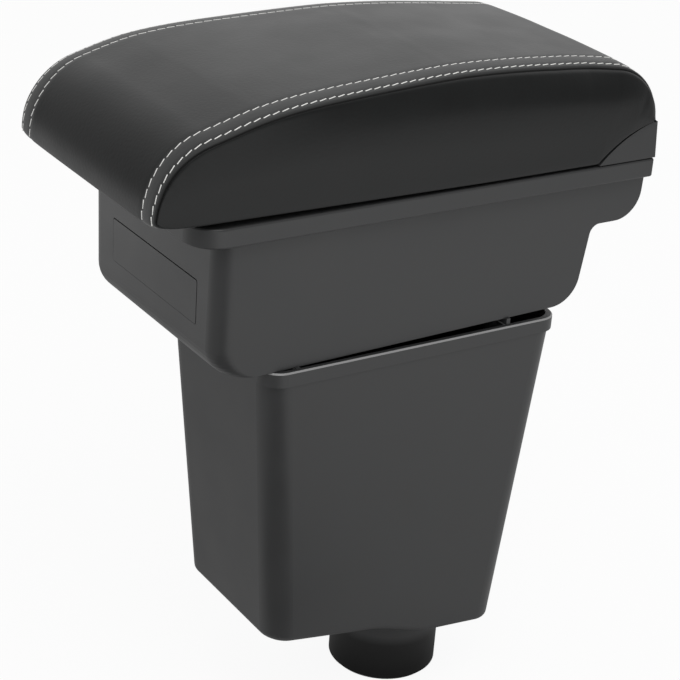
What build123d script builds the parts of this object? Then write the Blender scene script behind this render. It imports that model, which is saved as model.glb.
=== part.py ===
"""Car centre armrest: a stitched lid pad on a storage bin, over a lower box with a cup-holder plug.

Millimetres. The origin is on the plug's axis at its lower end. +X points to the rear of the car,
+Y to its right and +Z up. The lid and the bin are centred on the plane y = lid_y, and the lower
box is centred on the plug.
"""

import os
from math import cos, radians, sin, sqrt, tan

from build123d import *

os.makedirs("parts", exist_ok=True)

# Plug that stands in the car's cup holder
plug_radius = 31.5
plug_length = 33.0
plug_edge = 2.0
plug_root_draft = 4.0
plug_root_radius = 4.0

# Lower box, measured at the underside of its flange
box_length = 183.0
box_width = 109.0
box_rear = 59.5
box_corner = 13.5
box_wall = 2.6
box_front_draft = 5.3
box_rear_draft = 4.5
box_side_draft = 2.2
box_edge_radius = 4.0
flange_top = 232.4
flange_height = 8.0
flange_overhang = 0.8
flange_corner = 11.5
flange_edge = 0.8

# Bottom of the lower box, which falls to the rear in two stretches with a curved step between
bottom_height = 41.9
bottom_front_fall = 9.1
bottom_rear_fall = 5.3
bottom_step = 5.6
bottom_step_front = -45.0
bottom_step_rear = 2.0

# Seat of the bin on the lower box, which opens like a wedge to the rear. The posts stand at
# post_x along the seat from the flange's front, and their washers clear the bin's near wall.
seat_gap = 0.2
seat_rise = 1.3
post_x = (18.0, 150.0)
post_margin = 4.2
post_radius = 5.0
post_length = 26.0
post_web = 2.4

# Rim of the bin and the plane that the lid is centred on
lid_y = 15.5
rear_x = 109.0
rim_top = 318.0
rim_length = 279.0
rim_width = 150.0
rim_front_corner = 16.0
rim_rear_corner = 1.5
rim_depth = 10.5
rim_plate = 2.6
rim_lip = 2.4
rim_edge_radius = 1.2

# Bin below the rim, with its stepped rear. The front rolls under in roll_steps flats, and the seat
# cuts it where it has turned by roll_angle. The two radii on the lower rear wall take no more than
# their shares of its height.
bin_wall = 2.6
bin_draft = 1.5
bin_front_draft = 0.3
bin_overhang = 5.5
bin_front_setback = 15.2
bin_rear_setback = 0.5
bin_corner = 10.0
roll_radius = 17.5
roll_angle = 80.0
roll_steps = 10
bin_rear_radius = 17.0
ledge_depth = 35.8
ledge_length = 33.0
ledge_outer_radius = 16.0
ledge_inner_radius = 6.0
rear_radius_share = 0.7
ledge_radius_share = 0.3
lower_rear_draft = 7.0
trim_margin = 0.05

# Blank panel in the bin's front wall, a little left of its middle, which rests low and to the right
# in its recess by panel_slip
panel_margin = 14.0
panel_left = 2.3
panel_height = 24.2
panel_corner = 1.6
panel_rise = 36.5
panel_thickness = 1.5
panel_border = 3.5
panel_gap = 0.4
panel_slip = 0.25
hook_width = 12.0
hook_thickness = 2.0
hook_catch = 1.1
hook_slack = 0.2
hook_taper = 20.0

# Hinge across the rear
hinge_width = 100.0
knuckle_count = 5
knuckle_gap = 0.4
barrel_radius = 4.6
barrel_clearance = 0.4
pin_radius = 2.0
pin_fit_bin = 0.03
pin_fit_lid = 0.06

# Lid base, closed on the rim with a small gap
lid_gap = 2.2
lid_plate = 2.4
lid_base_inset = 4.0
lid_base_corner = 22.0
hinge_gap = 0.6
cheek_length = 38.5
cheek_height = 20.3
cheek_bow = 2.3
cheek_thickness = 4.5
rear_wall = 2.6

# Pad on the lid
pad_nose = -192.5
pad_rear_setback = 2.0
pad_lean = 5.3
pad_bottom = 1.2
nose_lift = 3.8
nose_run = 24.0
nose_edge_radius = 3.0
crown_radius = 741.0
crown_x = -11.5
crown_height = 57.3
nose_radius = 34.0
pad_rear_radius = 27.0
leather = 1.2
soft_gap = 0.3
seam_gap = 0.2
cheek_gap = 0.4

# Board that the leather is drawn over
board_thickness = 3.0
board_inset = 6.0
board_boss_radius = 4.5
board_boss_height = 9.0

# Topstitching, two rows beside each seam, each measured in from the pad's side
outer_row = 4.0
inner_row = 12.0
thread_width = 0.9
thread_height = 0.7
thread_lift = 0.15

# Fasteners and rubber bumpers
screw_radius = 1.75
screw_length = 16.0
screw_play = 0.1
pan_head_radius = 3.6
pan_head_height = 2.4
washer_radius = 5.0
washer_thickness = 1.0
recess_length = 3.4
recess_width = 0.9
recess_depth = 1.2
lid_screw_length = 10.0
csk_radius = 3.4
csk_angle = 45.0
lid_screw_x = (-140.0, -25.0, 85.0)
lid_screw_y = 50.0
bumper_radius = 5.0
bumper_setback = 11.0
bumper_y = 50.0
bumper_clearance = 0.3

# Places that follow from the sizes above
box_front = box_rear - box_length
flange_bottom = flange_top - flange_height
flange_front = box_front - flange_overhang
box_low = bottom_height / 2
far = 400.0
pad_half_width = rim_width / 2
rim_front = rear_x - rim_length
bin_front = rim_front + bin_front_setback
bin_half = rim_width / 2 - bin_overhang
bin_rear = rear_x - bin_rear_setback
ledge_z = rim_top - ledge_depth
hinge_x = rear_x + barrel_radius + barrel_clearance
hinge_z = rim_top + hinge_gap / 2
knuckle_pitch = hinge_width / knuckle_count
lid_bottom = rim_top + lid_gap
lid_plate_top = lid_bottom + lid_plate
pad_low = rim_top + pad_bottom
pad_rear = rear_x - pad_rear_setback
crown_z = rim_top + crown_height
board_low = lid_plate_top + soft_gap
board_top = board_low + board_thickness
cheek_low = rim_top + hinge_gap
cheek_top = rim_top + cheek_height

base_front = pad_nose + nose_run
board_front = base_front + board_inset
board_rear = rear_x - rear_wall - board_inset / 2
panel_width = 2 * (bin_half - bin_corner - panel_margin)
panel_z = flange_top + seat_gap + panel_rise
panel_drop = rim_top - panel_z
bin_depth = rim_top - flange_top - seat_gap
near_wall = bin_half - lid_y - bin_wall - bin_depth * tan(radians(bin_draft))
post_y = near_wall - washer_radius - post_margin

lid_plane = Plane.XZ.offset(-lid_y)
seat_plane = Plane(
    origin=(flange_front, 0, flange_top + seat_gap),
    x_dir=(cos(radians(seat_rise)), 0, sin(radians(seat_rise))),
    z_dir=(-sin(radians(seat_rise)), 0, cos(radians(seat_rise))),
)
post_places = [(x, y) for x in post_x for y in (-post_y, post_y)]
lid_screw_places = [(x, lid_y + y) for x in lid_screw_x for y in (-lid_screw_y, lid_screw_y)]


def slope(angle):
    """Run per unit of height for a wall drafted by this angle."""
    return tan(radians(angle))


def seat_z(x):
    """Height of the bin's underside at x."""
    return flange_top + seat_gap + (x - flange_front) * slope(seat_rise)


# Height of the axis that the bin's front rolls under about
roll_z = seat_z(bin_front + roll_radius) + roll_radius * sin(radians(roll_angle))


def crown_at(x):
    """Height of the pad's crowned top at x."""
    return crown_z - crown_radius + sqrt(crown_radius**2 - (x - crown_x) ** 2)


def half_width(z, inset=0.0):
    """Half width of the pad at height z, whose sides lean in as they rise."""
    return pad_half_width - inset / cos(radians(pad_lean)) - (z - rim_top) * slope(pad_lean)


def corner_near(sketch, point):
    """Corner of a sketch nearest to a point."""
    return sketch.vertices().sort_by_distance(Vector(*point, 0))[0]


def bounding_edges(faces):
    """Edges that belong to only one of these faces."""
    edges = [edge for face in faces for edge in face.edges()]
    return ShapeList(edge for edge in edges if edges.count(edge) == 1)


def box_walls(inset=0.0):
    """Side and front views of the lower box between its drafted walls, set in by the wall if asked."""
    depth = flange_top - box_low
    front_run = depth * slope(box_front_draft)
    rear_run = depth * slope(box_rear_draft)
    side_run = depth * slope(box_side_draft)
    front = box_front - flange_height * slope(box_front_draft) + inset
    rear = box_rear + flange_height * slope(box_rear_draft) - inset
    half = box_width / 2 + flange_height * slope(box_side_draft) - inset
    views = []
    for left, right, left_run, right_run in (
        (front, rear, front_run, rear_run),
        (-half, half, side_run, side_run),
    ):
        with BuildSketch() as view:
            with BuildLine():
                Polyline(
                    (left, flange_top),
                    (left + left_run, box_low),
                    (right - right_run, box_low),
                    (right, flange_top),
                    close=True,
                )
            make_face()
        views.append(view.sketch)
    return views


def box_bottom(raise_by=0.0):
    """Side view of the space above the lower box's bottom."""
    front_fall = slope(bottom_front_fall)
    rear_fall = slope(bottom_rear_fall)

    def front_place(x):
        return (x, bottom_height + bottom_step - x * front_fall + raise_by)

    def rear_place(x):
        return (x, bottom_height - x * rear_fall + raise_by)

    step_start = front_place(bottom_step_front)
    step_end = rear_place(bottom_step_rear)
    with BuildSketch() as side:
        with BuildLine():
            Line(front_place(-far), step_start)
            Spline(step_start, step_end, tangents=((1, -front_fall), (1, -rear_fall)))
            Line(step_end, rear_place(far))
            Polyline(rear_place(far), (far, far), (-far, far), front_place(-far))
        make_face()
    return side.sketch


def lower_box_form(inset=0.0):
    """Lower box as a drafted block with its stepped bottom, set in by the wall if asked."""
    side_view, front_view = box_walls(inset)
    with BuildPart() as form:
        with BuildSketch(Plane.XZ):
            add(side_view)
        extrude(amount=far, both=True)
        with BuildSketch(Plane.YZ):
            add(front_view)
        extrude(amount=far, both=True, mode=Mode.INTERSECT)
        corners = form.edges().filter_by(lambda e: e.bounding_box().size.Z > flange_height)
        fillet(corners, box_corner - inset)
        with BuildSketch(Plane.XZ):
            add(box_bottom(inset))
        extrude(amount=far, both=True, mode=Mode.INTERSECT)
    return form.part


def bin_side(inset=0.0):
    """Side view of the bin, open to the front and upwards, with its sloped bottom and stepped rear."""
    wall_run = slope(bin_draft)
    ledge_front = (rear_x - ledge_length, ledge_z)
    ledge_rear = (bin_rear - ledge_depth * wall_run, ledge_z)
    lower_depth = ledge_z - seat_z(ledge_front[0])
    rear_low_x = ledge_front[0] - lower_depth * slope(lower_rear_draft)
    rear_low = (rear_low_x, seat_z(rear_low_x))
    with BuildSketch() as side:
        with BuildLine():
            Polyline(
                (-far, rim_top + far),
                (-far, seat_z(-far)),
                rear_low,
                ledge_front,
                ledge_rear,
                (bin_rear + far * wall_run, rim_top + far),
                close=True,
            )
        make_face()
        fillet(corner_near(side, rear_low), min(bin_rear_radius, lower_depth * rear_radius_share))
        fillet(corner_near(side, ledge_front), min(ledge_inner_radius, lower_depth * ledge_radius_share))
        fillet(corner_near(side, ledge_rear), ledge_outer_radius)
        if inset:
            offset(amount=-inset, mode=Mode.REPLACE)
    return side.sketch


def bin_plan(z, recede, inset):
    """Plan of the bin at height z, with its front rolled back and its wall set in."""
    front = bin_front + (rim_top - z) * slope(bin_front_draft) + recede + inset
    half = bin_half - (rim_top - z) * slope(bin_draft) - inset
    with BuildSketch() as plan:
        with BuildLine():
            Polyline(
                (far, lid_y - half),
                (front, lid_y - half),
                (front, lid_y + half),
                (far, lid_y + half),
                close=True,
            )
        make_face()
        fillet(plan.vertices().group_by(Axis.X)[0], bin_corner - inset)
    return plan.sketch


def bin_form(inset=0.0):
    """Bin as a drafted block whose front rolls under, cut to its side view and set in if asked."""
    radius = roll_radius - inset
    turns = [radians(90 * step / roll_steps) for step in range(roll_steps + 1)]
    levels = [(rim_top, 0.0)]
    levels += [(roll_z - radius * sin(turn), radius * (1 - cos(turn))) for turn in turns]
    with BuildPart() as form:
        for z, recede in levels:
            with BuildSketch(Plane.XY.offset(z)):
                add(bin_plan(z, recede, inset))
        loft(ruled=True)
        with BuildSketch(lid_plane):
            add(bin_side(inset))
        extrude(amount=far, both=True, mode=Mode.INTERSECT)
    return form.part


def rim_outline(inset=0.0):
    """Plan of the bin's rim, set in by the lip if asked, then with square corners at the rear."""
    with BuildSketch() as plan:
        with BuildLine():
            Polyline(
                (rear_x - inset, lid_y - rim_width / 2 + inset),
                (rim_front + inset, lid_y - rim_width / 2 + inset),
                (rim_front + inset, lid_y + rim_width / 2 - inset),
                (rear_x - inset, lid_y + rim_width / 2 - inset),
                close=True,
            )
        make_face()
        fillet(plan.vertices().group_by(Axis.X)[0], rim_front_corner - inset)
        if not inset:
            fillet(plan.vertices().group_by(Axis.X)[-1], rim_rear_corner)
    return plan.sketch


def knuckle_side(side):
    """Side view of a hinge knuckle with its web, above the parting line (1) or below it (-1)."""
    reach = barrel_radius * sin(radians(45))
    root_x = rear_x - rim_lip / 2
    web_z = rim_top + hinge_gap / 2 + side * hinge_gap
    with BuildSketch() as knuckle:
        with Locations((hinge_x, hinge_z)):
            Circle(barrel_radius)
        with BuildLine():
            Polyline(
                (root_x, web_z),
                (hinge_x, web_z),
                (hinge_x + reach, hinge_z + side * reach),
                (root_x, hinge_z + side * (2 * reach + hinge_x - root_x)),
                close=True,
            )
        make_face()
    return knuckle.sketch


def knuckle_planes(first):
    """Middle planes of every second knuckle, from the given one on."""
    start = lid_y - hinge_width / 2
    middles = [start + (n + 0.5) * knuckle_pitch for n in range(first, knuckle_count, 2)]
    return [Plane.XZ.offset(-middle) for middle in middles]


def pad_side(inset=0.0):
    """Side view of the pad: nose, crowned top, rear and flat bottom, grown if inset is negative."""
    nose_low = (pad_nose, rim_top + nose_lift)
    nose_high = (pad_nose, crown_at(pad_nose))
    rear_high = (pad_rear, crown_at(pad_rear))
    with BuildSketch() as side:
        with BuildLine():
            ThreePointArc(nose_high, (crown_x, crown_z), rear_high)
            Polyline(rear_high, (pad_rear, pad_low), (base_front, pad_low), nose_low, nose_high)
        make_face()
        fillet(corner_near(side, nose_high), nose_radius)
        fillet(corner_near(side, rear_high), pad_rear_radius)
        fillet(corner_near(side, nose_low), nose_edge_radius)
        if inset:
            offset(amount=-inset, mode=Mode.REPLACE)
    return side.sketch


def pad_band(outer, inner, side):
    """Front view of the band between two insets from one leaning side of the pad."""
    low = rim_top - pad_half_width
    high = crown_z + pad_half_width
    with BuildSketch() as band:
        with BuildLine():
            Polyline(
                (lid_y + side * half_width(low, outer), low),
                (lid_y + side * half_width(high, outer), high),
                (lid_y + side * half_width(high, inner), high),
                (lid_y + side * half_width(low, inner), low),
                close=True,
            )
        make_face()
    return band.sketch


def pad_front(inset=0.0):
    """Front view of the pad between its leaning sides."""
    low = rim_top - pad_half_width
    high = crown_z + pad_half_width
    with BuildSketch() as front:
        with BuildLine():
            Polyline(
                (lid_y - half_width(low, inset), low),
                (lid_y + half_width(low, inset), low),
                (lid_y + half_width(high, inset), high),
                (lid_y - half_width(high, inset), high),
                close=True,
            )
        make_face()
    return front.sketch


def cheek_side(grow=0.0):
    """Side view of the raised cheek beside the hinge, with its bowed upper edge."""
    front = (rear_x - cheek_length, cheek_low)
    top = (rear_x - rear_wall, cheek_top)
    middle = ((front[0] + top[0]) / 2 - cheek_bow / 2, (front[1] + top[1]) / 2 + cheek_bow)
    with BuildSketch() as cheek:
        with BuildLine():
            ThreePointArc(front, middle, top)
            Polyline(top, (rear_x, cheek_top), (rear_x, cheek_low), front)
        make_face()
        if grow:
            offset(amount=grow, mode=Mode.REPLACE)
    return cheek.sketch


def below_leather(nose_z=rim_top):
    """Side view of what is trimmed off under the wrapped leather, and off the nose below nose_z."""
    low = rim_top - pad_half_width
    inner_x = pad_rear - pad_rear_radius / 2
    inner_z = board_top + board_boss_height
    with BuildSketch() as trim:
        with BuildLine():
            Polyline(
                (-far, low),
                (-far, nose_z),
                (base_front, nose_z),
                (base_front, inner_z),
                (inner_x, inner_z),
                (inner_x, cheek_top + cheek_gap),
                (far, cheek_top + cheek_gap),
                (far, low),
                close=True,
            )
        make_face()
    return trim.sketch


# Lower box with its plug, one hollow moulding
with BuildPart() as lower_box:
    add(lower_box_form())
    underside = lower_box.faces().filter_by(lambda f: f.normal_at().Z < -0.5)
    fillet(bounding_edges(underside), box_edge_radius)
    with BuildSketch(Plane.XY.offset(flange_bottom)):
        with Locations((box_front + box_length / 2, 0)):
            RectangleRounded(
                box_length + 2 * flange_overhang,
                box_width + 2 * flange_overhang,
                flange_corner,
            )
    extrude(amount=flange_height)
    flange_edges = lower_box.faces().sort_by(Axis.Z)[-1].outer_wire().edges()
    chamfer(flange_edges, flange_edge)
    with BuildSketch(Plane.XY):
        Circle(plug_radius)
    extrude(amount=plug_length)
    with BuildSketch(Plane.XY.offset(plug_length)):
        Circle(plug_radius)
    extrude(amount=bottom_height + bottom_step, taper=-plug_root_draft)
    plug_flare = lower_box.faces().filter_by(GeomType.CONE).sort_by(Axis.Z)[0]
    plug_root = plug_flare.edges().filter_by(lambda e: e.bounding_box().max.Z > plug_length + trim_margin)
    fillet(plug_root, plug_root_radius)
    chamfer(lower_box.edges().group_by(Axis.Z)[0], plug_edge)
    add(lower_box_form(box_wall), mode=Mode.SUBTRACT)
    with BuildSketch(Plane.XY.offset(box_wall)):
        Circle(plug_radius - box_wall)
    extrude(amount=bottom_height + bottom_step + plug_radius, mode=Mode.SUBTRACT)
    with BuildSketch(seat_plane):
        with Locations(post_places):
            Circle(post_radius)
        web_end = box_width / 2 - box_wall / 2
        with Locations([(x, side * (post_y + web_end) / 2) for x in post_x for side in (-1, 1)]):
            Rectangle(post_web, web_end - post_y)
    extrude(amount=-post_length)
    with BuildSketch(seat_plane):
        with Locations(post_places):
            Circle(screw_radius + screw_play)
    extrude(amount=-screw_length, mode=Mode.SUBTRACT)
lower_box.part.label = "lower_box"
export_step(lower_box.part, "parts/lower_box.step")

# Bin with its rim, front opening and fixed hinge knuckles, one moulding
front_plane = Plane(
    origin=(bin_front + panel_drop * slope(bin_front_draft), lid_y - panel_left, panel_z),
    x_dir=(0, -1, 0),
    z_dir=(-cos(radians(bin_front_draft)), 0, -sin(radians(bin_front_draft))),
)
window_width = panel_width - 2 * panel_border
window_height = panel_height - 2 * panel_border
with BuildPart() as upper_box:
    with BuildSketch(Plane.XY.offset(rim_top)):
        add(rim_outline())
    extrude(amount=-rim_depth)
    fillet(upper_box.edges().group_by(Axis.Z)[0], rim_edge_radius)
    fillet(upper_box.edges().group_by(Axis.Z)[-1], rim_edge_radius)
    with BuildSketch(Plane.XY.offset(rim_top - rim_plate)):
        add(rim_outline(rim_lip))
    extrude(amount=-rim_depth, mode=Mode.SUBTRACT)
    add(bin_form())
    for plane in knuckle_planes(0):
        with BuildSketch(plane):
            add(knuckle_side(-1))
        extrude(amount=(knuckle_pitch - knuckle_gap) / 2, both=True)
    add(bin_form(bin_wall), mode=Mode.SUBTRACT)
    with BuildSketch(lid_plane):
        with Locations((hinge_x, hinge_z)):
            Circle(pin_radius + pin_fit_bin)
    extrude(amount=hinge_width, both=True, mode=Mode.SUBTRACT)
    with BuildSketch(front_plane):
        RectangleRounded(panel_width, panel_height, panel_corner)
    extrude(amount=-panel_thickness, mode=Mode.SUBTRACT)
    with BuildSketch(front_plane):
        RectangleRounded(window_width, window_height, panel_corner)
    extrude(amount=-2 * bin_wall, mode=Mode.SUBTRACT)
    with BuildSketch(seat_plane):
        with Locations(post_places):
            Circle(screw_radius + 3 * screw_play)
    extrude(amount=2 * bin_wall, mode=Mode.SUBTRACT)
upper_box.part.label = "upper_box"
export_step(upper_box.part, "parts/upper_box.step")

# Blank panel that snaps into the bin's front wall
catch_depth = bin_wall + hook_slack
leg_x = window_width / 2 - panel_gap - hook_thickness / 2
plate_width = panel_width - 2 * panel_gap
plate_height = panel_height - 2 * panel_gap
blank_plane = Plane(front_plane.location * Location((-panel_slip, -panel_slip, 0)))
with BuildPart() as front_blank_panel:
    with BuildSketch(blank_plane):
        RectangleRounded(plate_width, plate_height, panel_corner - panel_gap)
    extrude(amount=-panel_thickness)
    with BuildSketch(blank_plane.offset(-panel_thickness)):
        with Locations((-leg_x, 0), (leg_x, 0)):
            Rectangle(hook_thickness, hook_width)
    extrude(amount=-(catch_depth - panel_thickness + hook_thickness))
    with BuildSketch(blank_plane.offset(-catch_depth)):
        with Locations((-leg_x - panel_gap, 0), (leg_x + panel_gap, 0)):
            Rectangle(hook_thickness + hook_catch, hook_width)
    extrude(amount=-hook_thickness, taper=hook_taper)
front_blank_panel.part.label = "front_blank_panel"
export_step(front_blank_panel.part, "parts/front_blank_panel.step")

# Washers and screws that hold the bin to the posts of the lower box
with BuildPart() as joining_washers:
    with BuildSketch(seat_plane.offset(bin_wall)):
        with Locations(post_places):
            Circle(washer_radius)
            Circle(screw_radius + 2 * screw_play, mode=Mode.SUBTRACT)
    extrude(amount=washer_thickness)
joining_washers.part.label = "joining_washers"
export_step(joining_washers.part, "parts/joining_washers.step")

screw_seat = seat_plane.offset(bin_wall + washer_thickness)
with BuildPart() as joining_screws:
    with BuildSketch(screw_seat):
        with Locations(post_places):
            Circle(pan_head_radius)
    extrude(amount=pan_head_height)
    head_tops = joining_screws.faces().filter_by(lambda f: f.normal_at().Z > 0.9)
    chamfer(head_tops.edges(), pan_head_height / 3)
    with BuildSketch(screw_seat):
        with Locations(post_places):
            Circle(screw_radius)
    extrude(amount=-(screw_length + washer_thickness))
    with BuildSketch(screw_seat.offset(pan_head_height)):
        with Locations(post_places):
            Rectangle(recess_length, recess_width)
            Rectangle(recess_width, recess_length)
    extrude(amount=-recess_depth, mode=Mode.SUBTRACT)
joining_screws.part.label = "joining_screws"
export_step(joining_screws.part, "parts/joining_screws.step")

# Hinge pin through all the knuckles
with BuildPart() as hinge_pin:
    with BuildSketch(lid_plane):
        with Locations((hinge_x, hinge_z)):
            Circle(pin_radius)
    extrude(amount=hinge_width / 2, both=True)
    chamfer(hinge_pin.edges().filter_by(GeomType.CIRCLE), pin_radius / 6)
hinge_pin.part.label = "hinge_pin"
export_step(hinge_pin.part, "parts/hinge_pin.step")

# Rubber bumpers on the rim, which the closed lid rests on
bumper_x = rim_front + bumper_setback
with BuildPart() as lid_bumpers:
    with BuildSketch(Plane.XY.offset(rim_top)):
        with Locations((bumper_x, lid_y - bumper_y), (bumper_x, lid_y + bumper_y)):
            Circle(bumper_radius)
    extrude(amount=lid_gap - bumper_clearance)
    chamfer(lid_bumpers.edges().group_by(Axis.Z)[-1], (lid_gap - bumper_clearance) / 2)
lid_bumpers.part.label = "lid_bumpers"
export_step(lid_bumpers.part, "parts/lid_bumpers.step")

# Base of the lid: plate, rear wall, side cheeks and moving hinge knuckles, one moulding
csk_depth = (csk_radius - screw_radius - screw_play) / slope(csk_angle)
with BuildPart() as lid_base:
    plate_half = pad_half_width - lid_base_inset
    with BuildSketch(Plane.XY.offset(lid_bottom)):
        with BuildLine():
            Polyline(
                (rear_x - rear_wall / 2, lid_y - plate_half),
                (base_front, lid_y - plate_half),
                (base_front, lid_y + plate_half),
                (rear_x - rear_wall / 2, lid_y + plate_half),
                close=True,
            )
        plate = make_face()
        fillet(plate.vertices().group_by(Axis.X)[0], lid_base_corner)
    extrude(amount=lid_plate)
    for side in (-1, 1):
        cheek_middle = lid_y + side * (pad_half_width - cheek_thickness / 2)
        with BuildSketch(Plane.XZ.offset(-cheek_middle)):
            add(cheek_side())
        extrude(amount=cheek_thickness / 2, both=True)
    with BuildSketch(Plane.XY.offset(cheek_low)):
        with Locations((rear_x - rear_wall / 2, lid_y)):
            Rectangle(rear_wall, 2 * pad_half_width)
    extrude(amount=cheek_height - hinge_gap)
    with BuildSketch(Plane.YZ):
        add(pad_front())
    extrude(amount=far, both=True, mode=Mode.INTERSECT)
    for plane in knuckle_planes(1):
        with BuildSketch(plane):
            add(knuckle_side(1))
        extrude(amount=(knuckle_pitch - knuckle_gap) / 2, both=True)
    with BuildSketch(lid_plane):
        with Locations((hinge_x, hinge_z)):
            Circle(pin_radius + pin_fit_lid)
    extrude(amount=hinge_width, both=True, mode=Mode.SUBTRACT)
    with BuildSketch(Plane.XY.offset(lid_bottom)):
        with Locations(lid_screw_places):
            Circle(screw_radius + screw_play)
    extrude(amount=lid_plate, mode=Mode.SUBTRACT)
    with BuildSketch(Plane.XY.offset(lid_bottom)):
        with Locations(lid_screw_places):
            Circle(csk_radius)
    extrude(amount=csk_depth, taper=csk_angle, mode=Mode.SUBTRACT)
lid_base.part.label = "lid_base"
export_step(lid_base.part, "parts/lid_base.step")

# Countersunk screws from the lid base into the board
with BuildPart() as lid_screws:
    with BuildSketch(Plane.XY.offset(lid_bottom)):
        with Locations(lid_screw_places):
            Circle(screw_radius)
    extrude(amount=lid_screw_length)
    with BuildSketch(Plane.XY.offset(lid_bottom)):
        with Locations(lid_screw_places):
            Circle(csk_radius - screw_play)
    extrude(amount=csk_depth - screw_play / 2, taper=csk_angle)
    with BuildSketch(Plane.XY.offset(lid_bottom)):
        with Locations(lid_screw_places):
            Rectangle(recess_length, recess_width)
            Rectangle(recess_width, recess_length)
    extrude(amount=recess_depth, mode=Mode.SUBTRACT)
lid_screws.part.label = "lid_screws"
export_step(lid_screws.part, "parts/lid_screws.step")

# Board that stiffens the pad and takes the lid screws
with BuildPart() as pad_board:
    with BuildSketch(Plane.XY.offset(board_low)):
        with BuildLine():
            board_half = pad_half_width - board_inset
            Polyline(
                (board_rear, lid_y - board_half),
                (board_front, lid_y - board_half),
                (board_front, lid_y + board_half),
                (board_rear, lid_y + board_half),
                close=True,
            )
        board = make_face()
        fillet(board.vertices().group_by(Axis.X)[0], lid_base_corner)
    extrude(amount=board_thickness)
    with BuildSketch(Plane.XY.offset(board_top)):
        with Locations(lid_screw_places):
            Circle(board_boss_radius)
    extrude(amount=board_boss_height)
    with BuildSketch(Plane.XY.offset(board_low)):
        with Locations(lid_screw_places):
            Circle(screw_radius + screw_play)
    extrude(amount=lid_screw_length, mode=Mode.SUBTRACT)
pad_board.part.label = "pad_board"
export_step(pad_board.part, "parts/pad_board.step")

# Foam block between the board and the leather
with BuildPart() as pad_foam:
    with BuildSketch(lid_plane):
        add(pad_side(leather + soft_gap))
    extrude(amount=far, both=True)
    with BuildSketch(Plane.YZ):
        add(pad_front(leather + soft_gap))
    extrude(amount=far, both=True, mode=Mode.INTERSECT)
    with BuildSketch(lid_plane):
        with BuildLine():
            Polyline(
                (base_front - soft_gap, rim_top),
                (base_front - soft_gap, board_top + soft_gap),
                (far, board_top + soft_gap),
                (far, rim_top),
                close=True,
            )
        make_face()
    extrude(amount=far, both=True, mode=Mode.SUBTRACT)
    with BuildSketch(Plane.XY.offset(board_top)):
        with Locations(lid_screw_places):
            Circle(board_boss_radius + soft_gap)
    extrude(amount=board_boss_height + soft_gap, mode=Mode.SUBTRACT)
    for side in (-1, 1):
        cheek_middle = lid_y + side * (pad_half_width - cheek_thickness / 2)
        with BuildSketch(Plane.XZ.offset(-cheek_middle)):
            add(cheek_side(cheek_gap))
        extrude(amount=cheek_thickness / 2 + cheek_gap, both=True, mode=Mode.SUBTRACT)
pad_foam.part.label = "pad_foam"
export_step(pad_foam.part, "parts/pad_foam.step")

# Top panel of leather, wrapped over nose, crown and rear
with BuildPart() as leather_top_panel:
    with BuildSketch(lid_plane):
        add(pad_side())
        add(pad_side(leather), mode=Mode.SUBTRACT)
        add(below_leather(), mode=Mode.SUBTRACT)
    extrude(amount=far, both=True)
    with BuildSketch(Plane.YZ):
        add(pad_front(leather + seam_gap))
    extrude(amount=far, both=True, mode=Mode.INTERSECT)
leather_top_panel.part.label = "leather_top_panel"
export_step(leather_top_panel.part, "parts/leather_top_panel.step")

# Side panels of leather and the topstitching beside their seams
for name, side in (("left", -1), ("right", 1)):
    with BuildPart() as leather_side_panel:
        with BuildSketch(lid_plane):
            add(pad_side())
            add(cheek_side(cheek_gap), mode=Mode.SUBTRACT)
        extrude(amount=far, both=True)
        with BuildSketch(Plane.YZ):
            add(pad_band(0, leather, side))
        extrude(amount=far, both=True, mode=Mode.INTERSECT)
    leather_side_panel.part.label = f"leather_{name}_panel"
    export_step(leather_side_panel.part, f"parts/leather_{name}_panel.step")

    for place, row in (("outer", outer_row), ("inner", inner_row)):
        with BuildPart() as topstitching:
            with BuildSketch(lid_plane):
                add(pad_side(-thread_lift - thread_height))
                add(pad_side(-thread_lift), mode=Mode.SUBTRACT)
                add(below_leather(rim_top + nose_lift + nose_edge_radius), mode=Mode.SUBTRACT)
            extrude(amount=far, both=True)
            with BuildSketch(Plane.YZ):
                add(pad_band(row, row + thread_width, side))
            extrude(amount=far, both=True, mode=Mode.INTERSECT)
        topstitching.part.label = f"{name}_{place}_topstitching"
        export_step(topstitching.part, f"parts/{name}_{place}_topstitching.step")
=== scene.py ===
"""Looks of the car centre armrest: a sewn leather pad on a moulded bin and a tapered lower box.

Sizes are in millimetres until a mesh is placed, and those of the studio round it in metres. The frame is
the solid model's: +X to the rear of the car, +Y to its right, +Z up from the plug's lower end.
"""
from math import atan2, cos, exp, pi, radians, sin, sqrt, tan

import bmesh
import bpy
from mathutils import Matrix, Vector, noise
from mathutils.bvhtree import BVHTree
from mathutils.kdtree import KDTree


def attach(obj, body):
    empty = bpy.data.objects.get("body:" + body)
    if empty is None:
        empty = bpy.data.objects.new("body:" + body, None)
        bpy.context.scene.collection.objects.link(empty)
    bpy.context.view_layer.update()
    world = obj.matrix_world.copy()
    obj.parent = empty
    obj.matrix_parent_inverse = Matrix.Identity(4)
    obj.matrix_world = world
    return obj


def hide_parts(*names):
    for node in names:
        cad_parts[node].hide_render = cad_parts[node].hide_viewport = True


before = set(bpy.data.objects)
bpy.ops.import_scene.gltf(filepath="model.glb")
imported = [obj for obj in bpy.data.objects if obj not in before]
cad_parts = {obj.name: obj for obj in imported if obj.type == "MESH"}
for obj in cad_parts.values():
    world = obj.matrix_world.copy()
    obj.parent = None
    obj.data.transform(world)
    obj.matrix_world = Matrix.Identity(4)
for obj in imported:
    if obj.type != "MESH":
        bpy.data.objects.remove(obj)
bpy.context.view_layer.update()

MM = 0.001

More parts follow.
